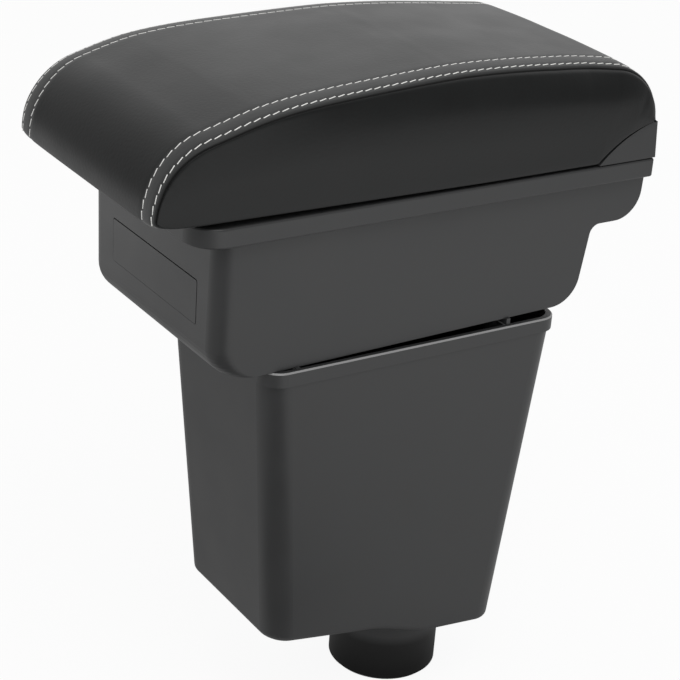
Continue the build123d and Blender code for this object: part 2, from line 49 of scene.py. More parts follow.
# Plane that the lid is centred on, the rim's height, the pad's half width there and how its sides lean in
lid_y = 15.5
rim_top = 318.0
pad_half = 75.0
pad_lean = radians(5.3)

# Side view of the pad: nose, crowned top and rear
pad_low = 319.2
nose_x = -192.5
nose_z = 321.8
base_front = -168.5
pad_rear = 107.0
crown_x = -11.5
crown_z = 375.8
crown_radius = 741.0
nose_radius = 35.0
rear_radius = 27.0
nose_edge = 3.0
rear_fold = 1.5
rear_low = 338.7
hem_turn = 0.7
hem_rise = 1.8
hem_tuck = 4.5
hem_front_lift = 1.8
hem_level_x = -5.0

# Spacing of points along the pad for the top panel, the side panels and the rows of thread
top_spacing = 2.5
side_spacing = 1.5
row_spacing = 1.0

# Lengths that the nose's and the rear's points are counted from, and points in the small folds and hems
nose_arc = 40.0
rear_arc = 38.0
edge_steps = 5
fold_steps = 4
rise_steps = 2
under_steps = 6
tuck_steps = 3
hem_steps = 4

# Cheek of the lid's base, whose bowed edge the leather ends at
cheek_front = (70.5, 318.6)
cheek_top = (106.4, 338.3)
cheek_bow = (-1.15, 2.3)
cheek_gap = 1.4
cheek_steps = 24

# Sewn edges: how the leather rolls over beside the seam, sinks under the thread and turns in at its hem
leather_thickness = 1.0
roll_width = 20.0
seam_drop = 0.8
seam_reach = 6.0
outer_row = 3.6
inner_row = 12.6
row_dip = 0.25
row_spread = 1.2
band_edge = 2.0
hem_radius = 1.6
hem_flat = 1.2
panel_weld = 0.02

# Rows of a side panel: below this length they are drawn smaller, and how far behind the nose's arc and the
# cheek's start the lower ends of their front and rear fans lie
full_row = 30.0
fan_nose = 6.0
fan_cheek = 3.0

# Gathers of a side panel beside its seam: their height, how far down they reach, and for each of two sizes
# its share, its width along the seam, its length down from it and its seed
gather_height = 0.12
gather_reach = 12.0
gathers = ((1.0, 5.5, 30.0, 3.7), (0.5, 2.6, 24.0, 9.1))

# How the stuffing changes the pad from a plain bar: fuller behind the nose, lower and narrower to the
# rear, crowned between its seams, and with its sewn corners drawn up under the nose
fill_rise = 3.2
fill_x = -132.0
fill_front = 30.0
fill_rear = 50.0
rear_sink = 1.3
rear_sink_start = -20.0
rear_sink_run = 60.0
plan_taper = 0.048
plan_middle = -25.0
plan_turn = -130.0
plan_round = 0.00167
plan_height = 15.0
rear_square = 45.0
crown_rise = 2.6
crown_reach = 60.0
edge_rise = 1.2
edge_reach = 16.0
nose_bulge = 0.14
nose_fade = 4
rear_fade = 10
side_belly = 1.4
corner_rise = 3.6
corner_height = 9.0
corner_reach = 6.0

# Leather finish: height of the creases as a share of the pebbles', and what the sewn band and the seam's
# fold add to roughness and sheen
crease_share = 0.4
band_matt = 0.18
band_sheen = 0.25
fold_matt = 0.6

# Heights between which the plug's painted shade, near black under the lower box, goes over into the lower
# box's colour
plug_shade_low = 24.0
plug_shade_high = 30.0

# Middle height and half height of the painted highlight along the lower box's flange edge
flange_highlight_height = 231.95
flange_highlight_half = 0.4

# Stitches: their size and slant, how far their ends dip and their middle stands out as a share of the
# radius, their facets, the length of a ply's turn, and the heights where the rows start and end
stitch_pitch = 5.3
stitch_length = 4.5
stitch_radius = 0.37
stitch_slant = radians(10)
stitch_dip = 0.35
stitch_lift = 0.3
stitch_sides = 8
stitch_rings = 7
ply_pitch = 1.1
stitch_nose = 323.5
stitch_rear = 342.0

# Height above the seam from which the rows of thread are dropped onto the leather
row_height = 12.0

# Scale that gives a diagonal wave one band per unit
wave_per_unit = 2 * pi / 10

# Foam under the cover: where it starts to be drawn in, over what height, and by how much, and where the
# lining on its lower edge ends
foam_hold = 328.0
foam_run = 25.0
foam_narrow = 0.075
foam_drop = 4.0
foam_weld = 0.001
lining_top = 343.0
lining_edge = 0.5

# How far each panel puffs out, how far from its sewn edges and above the board it is held, and the pressure
# and steps that puff it
top_rise = 0.9
side_rise = 1.0
loose_reach = 26.0
held_height = 20.0
puff_pressure = 4.0
puff_steps = 20

# Camera: turn, height and roll of its view, its place in millimetres, and its focal length in pixels of a
# square picture
view_turn = radians(-34.25)
view_height = radians(24.706)
view_roll = radians(4.228)
camera_place = (-589.7, -798.3, 658.8)
focal_pixels = 1960.96
picture_pixels = 680
sensor_width = 36.0

# Floor: its radius and facets, the share of its white that glows, and the way to the left of the view
floor_radius = 9.0
floor_facets = 96
floor_glow = 0.92
floor_left = (-0.707, 0.707, 0)

# Dark card: its sides, its middle ahead of the object along the view, and where that line starts
card_size = (0.35, 0.95, 1)
card_ahead = (0, -0.5, 0.003)
card_start = (-0.12, -0.05, 0)

# Light wall: the way to it, its edge as a cosine, the brightness round it and in its middle as glossy
# surfaces show it, and the surroundings' brightness for matt ones
wall_way = Vector((0.42, 0.73, 0.54)).normalized()
wall_edge = 0.4
wall_dim = 0.31
wall_bright = 1.08
ambient = 0.65

# Softbox: the way to it from its target, its distance, side and power
softbox_way = Vector((-0.2, -0.5, 0.84)).normalized()
softbox_target = Vector((0, 0, 0.25))
softbox_distance = 1.3
softbox_size = 0.6
softbox_power = 3.5


# Pad profile, as points along it with the way that the leather faces
def straight(start, end, steps):
    """Points of a straight run, without its end."""
    along = (Vector(end) - Vector(start)).normalized()
    facing = Vector((-along.y, along.x))
    return [(Vector(start).lerp(Vector(end), n / steps), facing) for n in range(steps)]


def arc(centre, radius, start, end, steps):
    """Points of an arc between two angles, without its end."""
    angles = [start + (end - start) * n / steps for n in range(steps)]
    facings = [Vector((cos(a), sin(a))) for a in angles]
    return [(Vector(centre) + facing * radius, facing) for facing in facings]


crown_centre = Vector((crown_x, crown_z - crown_radius))


def inside_crown(x, radius):
    """Centre of an arc at x that touches the crown from inside, and the angle where it does."""
    across = x - crown_x
    centre = Vector((x, crown_centre.y + sqrt((crown_radius - radius) ** 2 - across**2)))
    touch = centre - crown_centre
    return centre, atan2(touch.y, touch.x)


nose_centre, nose_angle = inside_crown(nose_x + nose_radius, nose_radius)
rear_centre, rear_angle = inside_crown(pad_rear - rear_radius, rear_radius)
hem_low = pad_low + hem_front_lift
under_angle = atan2(hem_low - nose_z, base_front - nose_x)
edge_lift = nose_edge * tan((pi / 2 + under_angle) / 2)
edge_centre = Vector((nose_x + nose_edge, nose_z + edge_lift))
edge_start = edge_centre + Vector((sin(under_angle), -cos(under_angle))) * nose_edge
edge_angle = under_angle - pi / 2
hem_front = (base_front - hem_turn, hem_low)
fold_centre = (pad_rear - rear_fold, rear_low + rear_fold)


def share_of(value, start, run):
    """How far a value is along a run, from 0 to 1."""
    return max(0.0, min(1.0, (value - start) / run))


def stuffed(stations):
    """Profile of the stuffed pad, fuller behind the nose and lower to the rear than plain arcs."""
    made = []
    for point, facing in stations:
        reach = fill_front if point.x < fill_x else fill_rear
        rise = fill_rise * exp(-(((point.x - fill_x) / reach) ** 2))
        sink = rear_sink * share_of(point.x, rear_sink_start, rear_sink_run) * max(0.0, facing.y)
        made.append((point + Vector((0, rise - sink)), facing))
    return made


def pad_profile(spacing):
    """Seam line in the side view from the nose's lower edge to the rear fold, about this far apart."""
    crown_steps = round(crown_radius * (nose_angle - rear_angle) / spacing)
    return stuffed(
        arc(edge_centre, nose_edge, edge_angle, -pi, edge_steps)
        + straight((nose_x, edge_centre.y), (nose_x, nose_centre.y), 1)
        + arc(nose_centre, nose_radius, pi, nose_angle, round(nose_arc / spacing))
        + arc(crown_centre, crown_radius, nose_angle, rear_angle, crown_steps)
        + arc(rear_centre, rear_radius, rear_angle, 0, round(rear_arc / spacing))
        + straight((pad_rear, rear_centre.y), (pad_rear, fold_centre[1]), 1)
        + arc(fold_centre, rear_fold, 0, -pi / 2, fold_steps)
    )


def with_hems(profile):
    """Profile of the top panel, which turns under the nose and in behind the rear."""
    rise = straight((hem_front[0], hem_low + hem_rise), hem_front, rise_steps)
    under = straight(hem_front, edge_start, under_steps)
    tuck = straight((fold_centre[0], rear_low), (fold_centre[0] - hem_tuck, rear_low), tuck_steps)
    return rise + under + profile + tuck


def seam_half(point):
    """Half width of the pad at a seam point, which leans in as it rises and narrows to the rear."""
    taper = plan_taper * (plan_middle - point.x) * share_of(pad_rear - point.x, 0.0, rear_square)
    corner = plan_round * max(0.0, plan_turn - point.x) ** 2
    high = share_of(point.y, nose_z, plan_height)
    return pad_half - (point.y - rim_top) * tan(pad_lean) + (taper - corner) * high


def seam_axes(station, side):
    """Seam point on one side, the way in under the pad from it, and the way that the top faces."""
    point, facing = station
    seam = Vector((point.x, lid_y + side * seam_half(point), point.y))
    outward = Vector((facing.x, 0, facing.y))
    inward = -(outward + Vector((0, side, 0))).normalized()
    return seam, inward, outward


# Folded edges of the top and side panels in the seam: distance from the seam and depth below it
top_folded = ((0.0, 2.6), (0.85, 2.3), (1.0, 1.3), (1.15, 0.75), (1.6, 0.36))
side_folded = ((0.0, 2.6), (0.3, 2.3), (0.34, 1.2), (0.42, 0.5), (0.8, 0.16))


def top_sink(distance):
    """How far the top panel sinks beside the seam and under the two rows of thread."""
    near_seam = max(0.0, 1 - distance / seam_reach)
    dips = sum(exp(-(((distance - row) / row_spread) ** 2)) for row in (outer_row, inner_row))
    return seam_drop * near_seam**2 + row_dip * dips


def bulge(station):
    """Share of the crown at a station of the profile: full on top, less on the nose, none at the rear."""
    point, facing = station
    upward = max(0.0, facing.y)
    if point.x > crown_x:
        return upward**rear_fade
    under = 1 - max(0.0, -facing.y)
    return (nose_bulge + (1 - nose_bulge) * upward**nose_fade) * under


def crown(distance, station):
    """How far the stuffed pad stands above its seams at a distance in from one."""
    middle = crown_rise * (1 - (1 - share_of(distance, 0.0, crown_reach)) ** 2)
    edge = edge_rise * (1 - (1 - share_of(distance, 0.0, edge_reach)) ** 2)
    return (middle + edge) * bulge(station)


def corner_lift(place, distance):
    """How far a point near a sewn corner under the nose is drawn up."""
    low = 1 - share_of(place.z, nose_z, corner_height)
    back = max(0.0, place.x - nose_x)
    return Vector((0, 0, corner_rise * low**2 * exp(-(distance + back) / corner_reach)))


def grid_panel(rows, columns, place, marks):
    """Panel from a grid: each point put where place says, and marked for the seam's fold, which is painted
    dark as shade, and sewn band.
    """
    bm = bmesh.new()
    for mark in ("fold", "band"):
        bm.verts.layers.float.new(mark)
    fold = bm.verts.layers.float["fold"]
    band = bm.verts.layers.float["band"]
    bmesh.ops.create_grid(bm, x_segments=columns - 1, y_segments=rows - 1, size=1)
    for vert in bm.verts:
        column = round((vert.co.x + 1) / 2 * (columns - 1))
        row = round((vert.co.y + 1) / 2 * (rows - 1))
        vert.co = place(row, column) * MM
        vert[fold], vert[band] = marks(column)
    return bm


def finish_piece(name, bm, body, material):
    """Piece of the object from a bmesh, riding on a body."""
    mesh = bpy.data.meshes.new(name)
    bm.to_mesh(mesh)
    bm.free()
    for face in mesh.polygons:
        face.use_smooth = True
    mesh.materials.append(material)
    piece = bpy.data.objects.new(name, mesh)
    bpy.context.scene.collection.objects.link(piece)
    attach(piece, body)
    return piece


def looseness(mesh):
    """How freely each point of a panel can move: 0 at its sewn edges and on the board, 1 well inside."""
    bm = bmesh.new()
    bm.from_mesh(mesh)
    sewn = [vert.co.copy() for vert in bm.verts if vert.is_boundary]
    bm.free()
    edges = KDTree(len(sewn))
    for index, place in enumerate(sewn):
        edges.insert(place, index)
    edges.balance()
    loose = []
    for vert in mesh.vertices:
        share = min(1.0, edges.find(vert.co)[2] / (loose_reach * MM))
        held = share_of(vert.co.z / MM, nose_z, held_height)
        loose.append(share**2 * (3 - 2 * share) * held)
    return loose


def swell(piece, rise):
    """Puffs a panel out between its sewn edges with a cloth simulation, by up to rise at its loosest."""
    mesh = piece.data
    loose = looseness(mesh)
    group = piece.vertex_groups.new(name="sewn")
    for index, amount in enumerate(loose):
        if amount == 0:
            group.add([index], 1.0, "REPLACE")
    cloth = piece.modifiers.new("Cloth", "CLOTH")
    cloth.settings.vertex_group_mass = group.name
    cloth.settings.use_pressure = True
    cloth.settings.uniform_pressure_force = puff_pressure
    cloth.settings.effector_weights.gravity = 0.0
    scene = bpy.context.scene
    for step in range(1, puff_steps + 1):
        scene.frame_set(step)
    puffed = piece.evaluated_get(bpy.context.evaluated_depsgraph_get()).to_mesh()
    moves = [puffed.vertices[n].co - vert.co for n, vert in enumerate(mesh.vertices)]
    piece.evaluated_get(bpy.context.evaluated_depsgraph_get()).to_mesh_clear()
    piece.modifiers.remove(cloth)
    piece.vertex_groups.remove(group)
    scene.frame_set(1)
    most = max(move.length for move in moves)
    for vert, move, amount in zip(mesh.vertices, moves, loose):
        vert.co += move * (amount * rise * MM / most)


def linear(code):
    """Linear colour from an sRGB hex value."""
    parts = [int(code[n : n + 2], 16) / 255 for n in (1, 3, 5)]
    return [p / 12.92 if p <= 0.04045 else ((p + 0.055) / 1.055) ** 2.4 for p in parts] + [1.0]


def node(tree, kind, inputs=(), **settings):
    """Adds a node with its settings, and sets or links the inputs named."""
    made = tree.nodes.new(kind)
    for key, value in settings.items():
        setattr(made, key, value)
    for key, value in dict(inputs).items():
        if isinstance(value, bpy.types.NodeSocket):
            tree.links.new(value, made.inputs[key])
        else:
            made.inputs[key].default_value = value
    return made


def new_material(name):
    """Empty node material."""
    material = bpy.data.materials.new(name)
    material.use_nodes = True
    material.node_tree.nodes.clear()
    return material, material.node_tree


def per_mm(size):
    """Texture scale for a pattern of this size in millimetres."""
    return 1 / (size * MM)


def grained_abs():
    """Moulded ABS with a spark-eroded grain: dark grey, a soft satin gloss and a faint cloudiness."""
    material, tree = new_material("moulded black ABS")
    place = node(tree, "ShaderNodeTexCoord").outputs["Object"]
    # The grain of about 0.3 mm is drawn at 0.8 mm, or it would not show
    grain = node(
        tree,
        "ShaderNodeTexNoise",
        {"Vector": place, "Scale": per_mm(0.8), "Detail": 3.0, "Roughness": 0.6},
    ).outputs["Fac"]
    cloud = node(
        tree,
        "ShaderNodeTexNoise",
        {"Vector": place, "Scale": per_mm(45), "Detail": 3.0, "Roughness": 0.55},
    ).outputs["Fac"]
    shell = node(
        tree,
        "ShaderNodeMix",
        {"Factor": cloud, "A": linear("#343434"), "B": linear("#3a3b3c")},
        data_type="RGBA",
    ).outputs["Result"]
    # The plug is painted near black: painted shade for the shadow that the lower box casts on it
    height = node(tree, "ShaderNodeSeparateXYZ", {"Vector": place}).outputs["Z"]
    above_plug_shade = node(
        tree,
        "ShaderNodeMapRange",
        {"Value": height, "From Min": plug_shade_low * MM, "From Max": plug_shade_high * MM},
    ).outputs["Result"]
    body = node(
        tree,
        "ShaderNodeMix",
        {"Factor": above_plug_shade, "A": linear("#0c0c0c"), "B": shell},
        data_type="RGBA",
    ).outputs["Result"]
    # The flange's upper edge is painted pale: a painted highlight that reads as a thin bright line under
    # the bin
    painted_highlight = node(
        tree,
        "ShaderNodeMath",
        {0: height, 1: flange_highlight_height * MM, 2: flange_highlight_half * MM},
        operation="COMPARE",
    ).outputs[0]
    colour = node(
        tree,
        "ShaderNodeMix",
        {"Factor": painted_highlight, "A": body, "B": linear("#9c9c9c")},
        data_type="RGBA",
    ).outputs["Result"]
    gloss = node(
        tree,
        "ShaderNodeMapRange",
        {"Value": cloud, "From Min": 0.3, "From Max": 0.7, "To Min": 0.36, "To Max": 0.44},
    ).outputs["Result"]
    bump = node(
        tree,
        "ShaderNodeBump",
        {"Height": grain, "Strength": 0.3, "Distance": 0.05 * MM},
    ).outputs["Normal"]
    shader = node(
        tree,
        "ShaderNodeBsdfPrincipled",
        {"Base Color": colour, "Roughness": gloss, "Normal": bump, "IOR": 1.5},
    )
    node(tree, "ShaderNodeOutputMaterial", {"Surface": shader.outputs["BSDF"]})
    return material


def pebbled_leather():
    """Coated leather with a pressed pebble grain: near black, satin, with low, soft pebbles."""
    material, tree = new_material("black coated leather")
    place = node(tree, "ShaderNodeTexCoord").outputs["Object"]
    fold = node(tree, "ShaderNodeAttribute", attribute_name="fold").outputs["Fac"]
    band = node(tree, "ShaderNodeAttribute", attribute_name="band").outputs["Fac"]
    # The pebbles of about 1 mm are drawn at 1.7 mm, or they would not show
    pebble = node(
        tree,
        "ShaderNodeTexVoronoi",
        {"Vector": place, "Scale": per_mm(1.7), "Smoothness": 0.6, "Randomness": 1.0},
        feature="SMOOTH_F1",
    ).outputs["Distance"]
    crease = node(
        tree,
        "ShaderNodeTexNoise",
        {"Vector": place, "Scale": per_mm(24.0), "Detail": 2.0},
    ).outputs["Fac"]
    height = node(
        tree, "ShaderNodeMath", {0: crease, 1: crease_share, 2: pebble}, operation="MULTIPLY_ADD"
    ).outputs[0]
    worn = node(
        tree,
        "ShaderNodeMix",
        {"Factor": crease, "A": linear("#0d0e0e"), "B": linear("#131515")},
        data_type="RGBA",
    ).outputs["Result"]
    # Two layers lie under the rows of thread, where the drawn coating is more matt; the band's lighter grey
    # is painted light, for the brighter look that the sewn band has
    sewn = node(
        tree,
        "ShaderNodeMix",
        {"Factor": band, "A": worn, "B": linear("#2b2c2c")},
        data_type="RGBA",
    ).outputs["Result"]
    # The folded edges in the seam are painted near black: painted shade of the seam's groove
    colour = node(
        tree,
        "ShaderNodeMix",
        {"Factor": fold, "A": sewn, "B": linear("#020202")},
        data_type="RGBA",
    ).outputs["Result"]
    satin = node(
        tree,
        "ShaderNodeMapRange",
        {"Value": crease, "From Min": 0.3, "From Max": 0.7, "To Min": 0.36, "To Max": 0.4},
    ).outputs["Result"]
    drawn = node(
        tree, "ShaderNodeMath", {0: band, 1: band_matt, 2: satin}, operation="MULTIPLY_ADD"
    ).outputs[0]
    gloss = node(
        tree, "ShaderNodeMath", {0: fold, 1: fold_matt, 2: drawn}, operation="MULTIPLY_ADD"
    ).outputs[0]
    fuzz = node(tree, "ShaderNodeMath", {0: band, 1: band_sheen}, operation="MULTIPLY").outputs[0]
    bump = node(
        tree,
        "ShaderNodeBump",
        {"Height": height, "Strength": 0.3, "Distance": 0.12 * MM},
        invert=True,
    ).outputs["Normal"]
    shader = node(
        tree,
        "ShaderNodeBsdfPrincipled",
        {"Base Color": colour, "Roughness": gloss, "Normal": bump, "IOR": 1.4, "Sheen Weight": fuzz},
    )
    node(tree, "ShaderNodeOutputMaterial", {"Surface": shader.outputs["BSDF"]})
    return material


def twisted_thread():
    """Bonded polyester thread: off-white, with faint lines where its plies wind round each other."""
    material, tree = new_material("bonded white thread")
    along = node(tree, "ShaderNodeUVMap", uv_map="thread").outputs["UV"]
    plies = node(
        tree,
        "ShaderNodeTexWave",
        {"Vector": along, "Scale": wave_per_unit, "Distortion": 0.4},
        wave_type="BANDS",
        bands_direction="DIAGONAL",
    ).outputs["Fac"]
    colour = node(
        tree,
        "ShaderNodeMix",
        {"Factor": plies, "A": linear("#f0efe8"), "B": linear("#ffffff")},
        data_type="RGBA",
    ).outputs["Result"]
    bump = node(
        tree, "ShaderNodeBump", {"Height": plies, "Strength": 0.4, "Distance": 0.1 * MM}
    ).outputs["Normal"]
    shader = node(
        tree,
        "ShaderNodeBsdfPrincipled",
        {"Base Color": colour, "Roughness": 0.6, "Normal": bump, "Sheen Weight": 0.2},
    )
    node(tree, "ShaderNodeOutputMaterial", {"Surface": shader.outputs["BSDF"]})
    return material


def zinc_plate():
    """Zinc-plated steel: pale and bluish, half bright, with cloudy patches left by the bath."""
    material, tree = new_material("zinc-plated steel")
    place = node(tree, "ShaderNodeTexCoord").outputs["Object"]
    cloud = node(
        tree, "ShaderNodeTexNoise", {"Vector": place, "Scale": per_mm(2.5), "Detail": 4.0}
    ).outputs["Fac"]
    colour = node(
        tree,
        "ShaderNodeMix",
        {"Factor": cloud, "A": linear("#aeb3b8"), "B": linear("#c9cbc9")},
        data_type="RGBA",
    ).outputs["Result"]
    gloss = node(
        tree, "ShaderNodeMapRange", {"Value": cloud, "To Min": 0.24, "To Max": 0.42}
    ).outputs["Result"]
    shader = node(
        tree,
        "ShaderNodeBsdfPrincipled",
        {"Base Color": colour, "Roughness": gloss, "Metallic": 1.0},
    )
    node(tree, "ShaderNodeOutputMaterial", {"Surface": shader.outputs["BSDF"]})
    return material


def moulded_rubber():
    """Moulded black rubber: deep black and matt, greyed in places by a bloom of wax."""
    material, tree = new_material("moulded black rubber")
    place = node(tree, "ShaderNodeTexCoord").outputs["Object"]
    bloom = node(
        tree, "ShaderNodeTexNoise", {"Vector": place, "Scale": per_mm(1.8), "Detail": 5.0}
    ).outputs["Fac"]
    colour = node(
        tree,
        "ShaderNodeMix",
        {"Factor": bloom, "A": linear("#131313"), "B": linear("#252526")},
        data_type="RGBA",
    ).outputs["Result"]
    bump = node(tree, "ShaderNodeBump", {"Height": bloom, "Strength": 0.3, "Distance": 0.1 * MM})
    shader = node(
        tree,
        "ShaderNodeBsdfPrincipled",
        {"Base Color": colour, "Roughness": 0.78, "Normal": bump.outputs["Normal"]},
    )
    node(tree, "ShaderNodeOutputMaterial", {"Surface": shader.outputs["BSDF"]})
    return material


def cut_foam():
    """Cut polyurethane foam: buff and dull, with open cells that read as small dark pits.

    Its lower edge is wrapped in black lining cloth, so that no pale foam shows at the gaps of the lid.
    """
    material, tree = new_material("cut polyurethane foam")
    place = node(tree, "ShaderNodeTexCoord").outputs["Object"]
    cell = node(
        tree, "ShaderNodeTexVoronoi", {"Vector": place, "Scale": per_mm(0.9), "Randomness": 1.0}
    ).outputs["Distance"]
    bare = node(
        tree,
        "ShaderNodeMix",
        {"Factor": cell, "A": linear("#8d7f58"), "B": linear("#cdc29a")},
        data_type="RGBA",
    ).outputs["Result"]
    height = node(tree, "ShaderNodeSeparateXYZ", {"Vector": place}).outputs["Z"]
    above_lining = node(
        tree,
        "ShaderNodeMapRange",
        {"Value": height, "From Min": lining_top * MM, "From Max": (lining_top + lining_edge) * MM},
    ).outputs["Result"]
    colour = node(
        tree,
        "ShaderNodeMix",
        {"Factor": above_lining, "A": linear("#0c0c0c"), "B": bare},
        data_type="RGBA",
    ).outputs["Result"]
    bump = node(tree, "ShaderNodeBump", {"Height": cell, "Strength": 0.6, "Distance": 0.3 * MM})
    shader = node(
        tree,
        "ShaderNodeBsdfPrincipled",
        {"Base Color": colour, "Roughness": 0.95, "Normal": bump.outputs["Normal"]},
    )
    node(tree, "ShaderNodeOutputMaterial", {"Surface": shader.outputs["BSDF"]})
    return material


abs_plastic = grained_abs()
leather = pebbled_leather()
thread = twisted_thread()

# Top panel: stations across it from the folded edge to the middle, in millimetres from the seam, and then
# as shares of what is left
beside_seam = (2.0, 2.8, 3.6, 4.4, 5.4, 6.6, 8.2, 9.9, 11.6, 12.6, 13.6, 15.0, 17.0, 19.5)
to_middle = (0.08, 0.18, 0.3, 0.43, 0.57, 0.71, 0.85)
edge_count = len(top_folded)
half_count = edge_count + len(beside_seam) + len(to_middle)
top_rows = with_hems(pad_profile(top_spacing))
top_columns = 2 * half_count + 1


def top_station(column):
    """Side of the pad that a column of the top panel is on, and its number from that seam."""
    if column <= half_count:
        return -1, column
    return 1, top_columns - 1 - column


def top_place(row, column):
    """Place of a point of the top panel."""
    side, number = top_station(column)
    seam, inward, outward = seam_axes(top_rows[row], side)
    across = Vector((0, -side, 0))
    if number < edge_count:
        distance, depth = top_folded[number]
        return seam + across * distance + inward * depth + corner_lift(seam, distance)
    half = seam_half(top_rows[row][0])
    number -= edge_count
    if number < len(beside_seam):
        distance = beside_seam[number]
    else:
        number -= len(beside_seam)
        share = to_middle[number] if number < len(to_middle) else 1.0
        distance = beside_seam[-1] + (half - beside_seam[-1]) * share
    rise = crown(distance, top_rows[row]) - top_sink(distance)
    return seam + across * distance + outward * rise + corner_lift(seam, distance)


def top_marks(column):
    """How far a column of the top panel is in the fold beside a seam, and in the band under the thread."""
    number = top_station(column)[1]
    if number < edge_count:
        return float(number < edge_count - 1), 1.0
    number -= edge_count
    if number >= len(beside_seam):
        return 0.0, 0.0
    return 0.0, share_of(inner_row + band_edge - beside_seam[number], 0.0, band_edge)


top_mesh = grid_panel(len(top_rows), top_columns, top_place, top_marks)
top_panel = finish_piece("leather_top", top_mesh, "lid", leather)

# Side panels: each row runs from the seam down to the lower edge of the pad or to the cheek
side_rows = pad_profile(side_spacing)
hem_arc = [pi / 2 * n / hem_steps for n in range(1, hem_steps + 1)]
side_beside = (1.6, 2.8, 4.5, 6.8, 9.5, 13.0, 17.0)
side_shares = (0.14, 0.3, 0.47, 0.64, 0.81, 1.0)
side_columns = edge_count + len(side_beside) + len(side_shares) + len(hem_arc) + 1


def cheek_edge(share):
    """Point of the cheek's bowed edge, with the gap to the leather."""
    front, top, bow = Vector(cheek_front), Vector(cheek_top), Vector(cheek_bow)
    lift = Vector((cheek_front[1] - cheek_top[1], cheek_top[0] - cheek_front[0])).normalized()
    return front.lerp(top, share) + bow * (4 * share * (1 - share)) + lift * cheek_gap


def lengths_along(points):
    """Length along a line of points up to each of them."""
    lengths = [0.0]
    for first, second in zip(points, points[1:]):
        lengths.append(lengths[-1] + (second - first).length)
    return lengths


bowed_edge = [cheek_edge(n / cheek_steps) for n in range(cheek_steps + 1)]
cheek_points = [point for point in bowed_edge if point.y > pad_low]
lower_edge = [
    edge_start,
    Vector((base_front, hem_low)),
    Vector((hem_level_x, pad_low)),
    Vector((cheek_points[0].x, pad_low)),
]
cheek_start = len(lower_edge) - 1
lower_edge += cheek_points
lower_lengths = lengths_along(lower_edge)
seam_lengths = lengths_along([point for point, facing in side_rows])


def between(value, places, values):
    """Value read off straight lines between given places."""
    for n in range(len(places) - 1):
        if value <= places[n + 1]:
            share = (value - places[n]) / (places[n + 1] - places[n])
            return values[n] + (values[n + 1] - values[n]) * share
    return values[-1]


def along_seam(point):
    """Length along the seam to the place nearest to a point of the side view."""
    nearest = min(range(len(side_rows)), key=lambda n: (side_rows[n][0] - Vector(point)).length)
    return seam_lengths[nearest]


nose_end = nose_centre + Vector((cos(nose_angle), sin(nose_angle))) * nose_radius
rear_end = rear_centre + Vector((cos(rear_angle), sin(rear_angle))) * rear_radius
fan_seam = [0.0, along_seam(nose_end), along_seam(rear_end), seam_lengths[-1]]
fan_lower = [
    0.0,
    nose_end.x + fan_nose - edge_start.x,
    lower_lengths[cheek_start] + fan_cheek,
    lower_lengths[-1],
]


def lower_point(row):
    """Point of the lower edge that a row of the side panel runs down to."""
    length = between(seam_lengths[row], fan_seam, fan_lower)
    xs = [point.x for point in lower_edge]
    zs = [point.y for point in lower_edge]
    return Vector((between(length, lower_lengths, xs), between(length, lower_lengths, zs)))


def pucker(length, distance):
    """Small gathers where the side panel is drawn into the curved seam."""
    curl = sum(
        share * noise.noise(Vector((length / width, distance / run, seed)))
        for share, width, run, seed in gathers
    )
    return gather_height * curl * exp(-distance / gather_reach)


def side_place(side):
    """Maker of the places of one side panel's points."""

    def place(row, column):
        seam, inward = seam_axes(side_rows[row], side)[:2]
        top = side_rows[row][0]
        low = lower_point(row)
        length = (low - top).length
        down = (low - top).normalized() if length > 0 else Vector((0, -1))
        down3 = Vector((down.x, 0, down.y))
        across = Vector((0, side, 0))
        scale = min(1.0, length / full_row)
        if column < edge_count:
            distance, depth = side_folded[column]
            return seam + down3 * (distance * scale) + inward * depth + corner_lift(seam, 0.0)
        column -= edge_count
        bend = hem_radius * scale
        if column < len(side_beside):
            distance, turn, tuck = side_beside[column] * scale, 0.0, 0.0
        else:
            column -= len(side_beside)
            if column < len(side_shares):
                start = side_beside[-1] * scale
                distance = start + (length - bend - start) * side_shares[column]
                turn, tuck = 0.0, 0.0
            else:
                column -= len(side_shares)
                turn = hem_arc[min(column, len(hem_arc) - 1)]
                distance = length - bend
                tuck = hem_flat if column == len(hem_arc) else 0.0
        share = min(1.0, distance / (roll_width * scale)) if scale > 0 else 1.0
        round_over = 1 - (1 - share) ** 2
        roll = (pad_half - seam_half(top)) * round_over
        if length > 0:
            roll += side_belly * scale * round_over * (1 - (distance / length) ** 2)
        roll += pucker(seam_lengths[row], distance)
        inset = bend * (1 - cos(turn)) + tuck
        place = seam + down3 * (distance + bend * sin(turn)) + across * (roll - inset)
        return place + corner_lift(place, 0.0)

    return place


def side_marks(column):
    """How far a column of a side panel is in the fold beside the seam; no band is sewn on it."""
    return float(column < edge_count - 1), 0.0


side_panels = {}
for name, side in (("left", -1), ("right", 1)):
    side_mesh = grid_panel(len(side_rows), side_columns, side_place(side), side_marks)
    bmesh.ops.remove_doubles(side_mesh, verts=side_mesh.verts, dist=panel_weld * MM)
    bmesh.ops.recalc_face_normals(side_mesh, faces=side_mesh.faces)
    side_panels[name] = finish_piece(f"leather_{name}", side_mesh, "lid", leather)

for panel, node_name, rise in (
    (top_panel, "leather_top_panel", top_rise),
    (side_panels["left"], "leather_left_panel", side_rise),
    (side_panels["right"], "leather_right_panel", side_rise),
):
    swell(panel, rise)
    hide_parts(node_name)
    thicken = panel.modifiers.new("Thickness", "SOLIDIFY")
    thicken.thickness = leather_thickness * MM
    thicken.offset = -1.0
    smooth = panel.modifiers.new("Subdivision", "SUBSURF")
    smooth.levels = smooth.render_levels = 1

# Topstitching: separate stitches laid on the finished leather
bpy.context.view_layer.update()
leather_skin = BVHTree.FromObject(top_panel, bpy.context.evaluated_depsgraph_get())
stitch_half = stitch_length / 2


